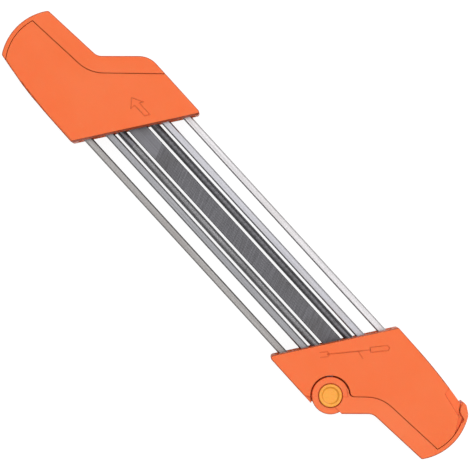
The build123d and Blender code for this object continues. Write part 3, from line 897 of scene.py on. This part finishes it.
pinSet = {
    "headRadius": 6.9,
    "headHeight": 2.3,
    "rim": 0.55,
    "dishRadius": 5.6,
    "dishFloor": 4.0,
    "dishDepth": 0.7,
    "shankRadius": 3.0,
    "grooveRadius": 2.4,
    "groove": (2.0, 2.9),
    "tipEdge": 0.35,
    "steps": (4, 8, 6),      # in the floor, the dish and the rim
    "roundFaces": 96,
}


def makePivotPin(s):
    (x0, y0, z0), (x1, y1, z1) = inMillimetres(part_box("pivot_pin"))
    cx, cy = (x0 + x1) / 2, (y0 + y1) / 2
    dish, floor, depth, rim = s["dishRadius"], s["dishFloor"], s["dishDepth"], s["rim"]
    head, shank, tip = s["headRadius"], s["shankRadius"], s["tipEdge"]
    grooveLow, grooveHigh = s["groove"]
    floorSteps, dishSteps, rimSteps = s["steps"]
    line = [(floor * i / floorSteps, z1 - depth) for i in range(1, floorSteps + 1)]
    for i in range(1, dishSteps + 1):
        a = pi * i / dishSteps
        line.append((floor + (dish - floor) * i / dishSteps, z1 - depth * (1 + cos(a)) / 2))
    for i in range(rimSteps + 1):
        a = pi / 2 * i / rimSteps
        line.append((head - rim * (1 - sin(a)), z1 - rim * (1 - cos(a))))
    under = z1 - s["headHeight"]
    line += [(head, under), (shank, under), (shank, grooveHigh), (s["grooveRadius"], grooveHigh),
             (s["grooveRadius"], grooveLow), (shank, grooveLow), (shank, z0 + tip), (shank - tip, z0)]
    count = s["roundFaces"]
    rings = [[(cx + r * cos(2 * pi * i / count), cy + r * sin(2 * pi * i / count), z) for i in range(count)]
             for r, z in line]
    mesh = meshFromRings("yellowPivotPin", rings)
    mesh.materials.append(materials["pin"])
    piece = linked("yellowPivotPin", mesh)
    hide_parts("pivot_pin")
    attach(piece, "frame")


makePivotPin(pinSet)
print("pivot pin made")


# Floor and lights

studio = {
    "floorSize": 6.0,
    "floorHeight": -0.0002,
    "floorColor": (0.22, 0.22, 0.22, 1.0),
    "floorRoughness": 0.9,
    "floorGlow": 0.90,       # only for the camera and for reflections
    "speckScale": 4.0,
    "skyTop": (0.62, 0.62, 0.63, 1.0),
    "skyRim": (0.04, 0.04, 0.04, 1.0),
    "topLight": {"size": 4.2, "power": 50.0, "place": (0.15, 0.55, 2.3)},
    "sideLight": {"size": 1.8, "power": 12.0, "place": (-0.2, 2.0, 1.3)},
}


def makeFloor(s):
    half, z = s["floorSize"] / 2, s["floorHeight"]
    mesh = bpy.data.meshes.new("studioFloor")
    corners = [(-half, -half, z), (half, -half, z), (half, half, z), (-half, half, z)]
    mesh.from_pydata(corners, [], [(0, 1, 2, 3)])
    floor = linked("studioFloor", mesh)
    mat, tree, shader = newMaterial("paleFloor")
    vector = objectCoords(tree, (1, 1, 1))
    speck = mapped(tree, noise(tree, vector, s["speckScale"], 2.0), 0.98, 1.0)
    shade = mixed(tree, 1.0, s["floorColor"], speck, "MULTIPLY")
    tree.links.new(shade, shader.inputs["Base Color"])
    shader.inputs["Roughness"].default_value = s["floorRoughness"]
    shader.inputs["Specular IOR Level"].default_value = 0.0
    path = addNode(tree, "ShaderNodeLightPath")
    seen = path.outputs["Is Camera Ray"]
    for name in ("Is Glossy Ray", "Is Transmission Ray"):
        seen = calculated(tree, "MAXIMUM", seen, path.outputs[name])
    shader.inputs["Emission Color"].default_value = (1, 1, 1, 1)
    glow = calculated(tree, "MULTIPLY", seen, s["floorGlow"])
    tree.links.new(glow, shader.inputs["Emission Strength"])
    mesh.materials.append(mat)


def makeLight(name, s):
    data = bpy.data.lights.new(name, "AREA")
    data.shape = "SQUARE"
    data.size = s["size"]
    data.energy = s["power"]
    light = linked(name, data)
    light.location = s["place"]
    light.rotation_euler = (-Vector(s["place"])).to_track_quat("-Z", "Y").to_euler()


def makeSky(s):
    world = bpy.data.worlds.new("studioWorld")
    bpy.context.scene.world = world
    world.use_nodes = True
    tree = world.node_tree
    coords = addNode(tree, "ShaderNodeTexCoord")
    split = addNode(tree, "ShaderNodeSeparateXYZ")
    tree.links.new(coords.outputs["Generated"], split.inputs[0])
    rise = mapped(tree, split.outputs["Z"], 0.0, 1.0, 0.0, 0.8)
    shade = mixed(tree, rise, s["skyRim"], s["skyTop"])
    tree.links.new(shade, tree.nodes["Background"].inputs["Color"])


makeFloor(studio)
makeLight("topLight", studio["topLight"])
makeLight("sideLight", studio["sideLight"])
makeSky(studio)
print("studio lit")
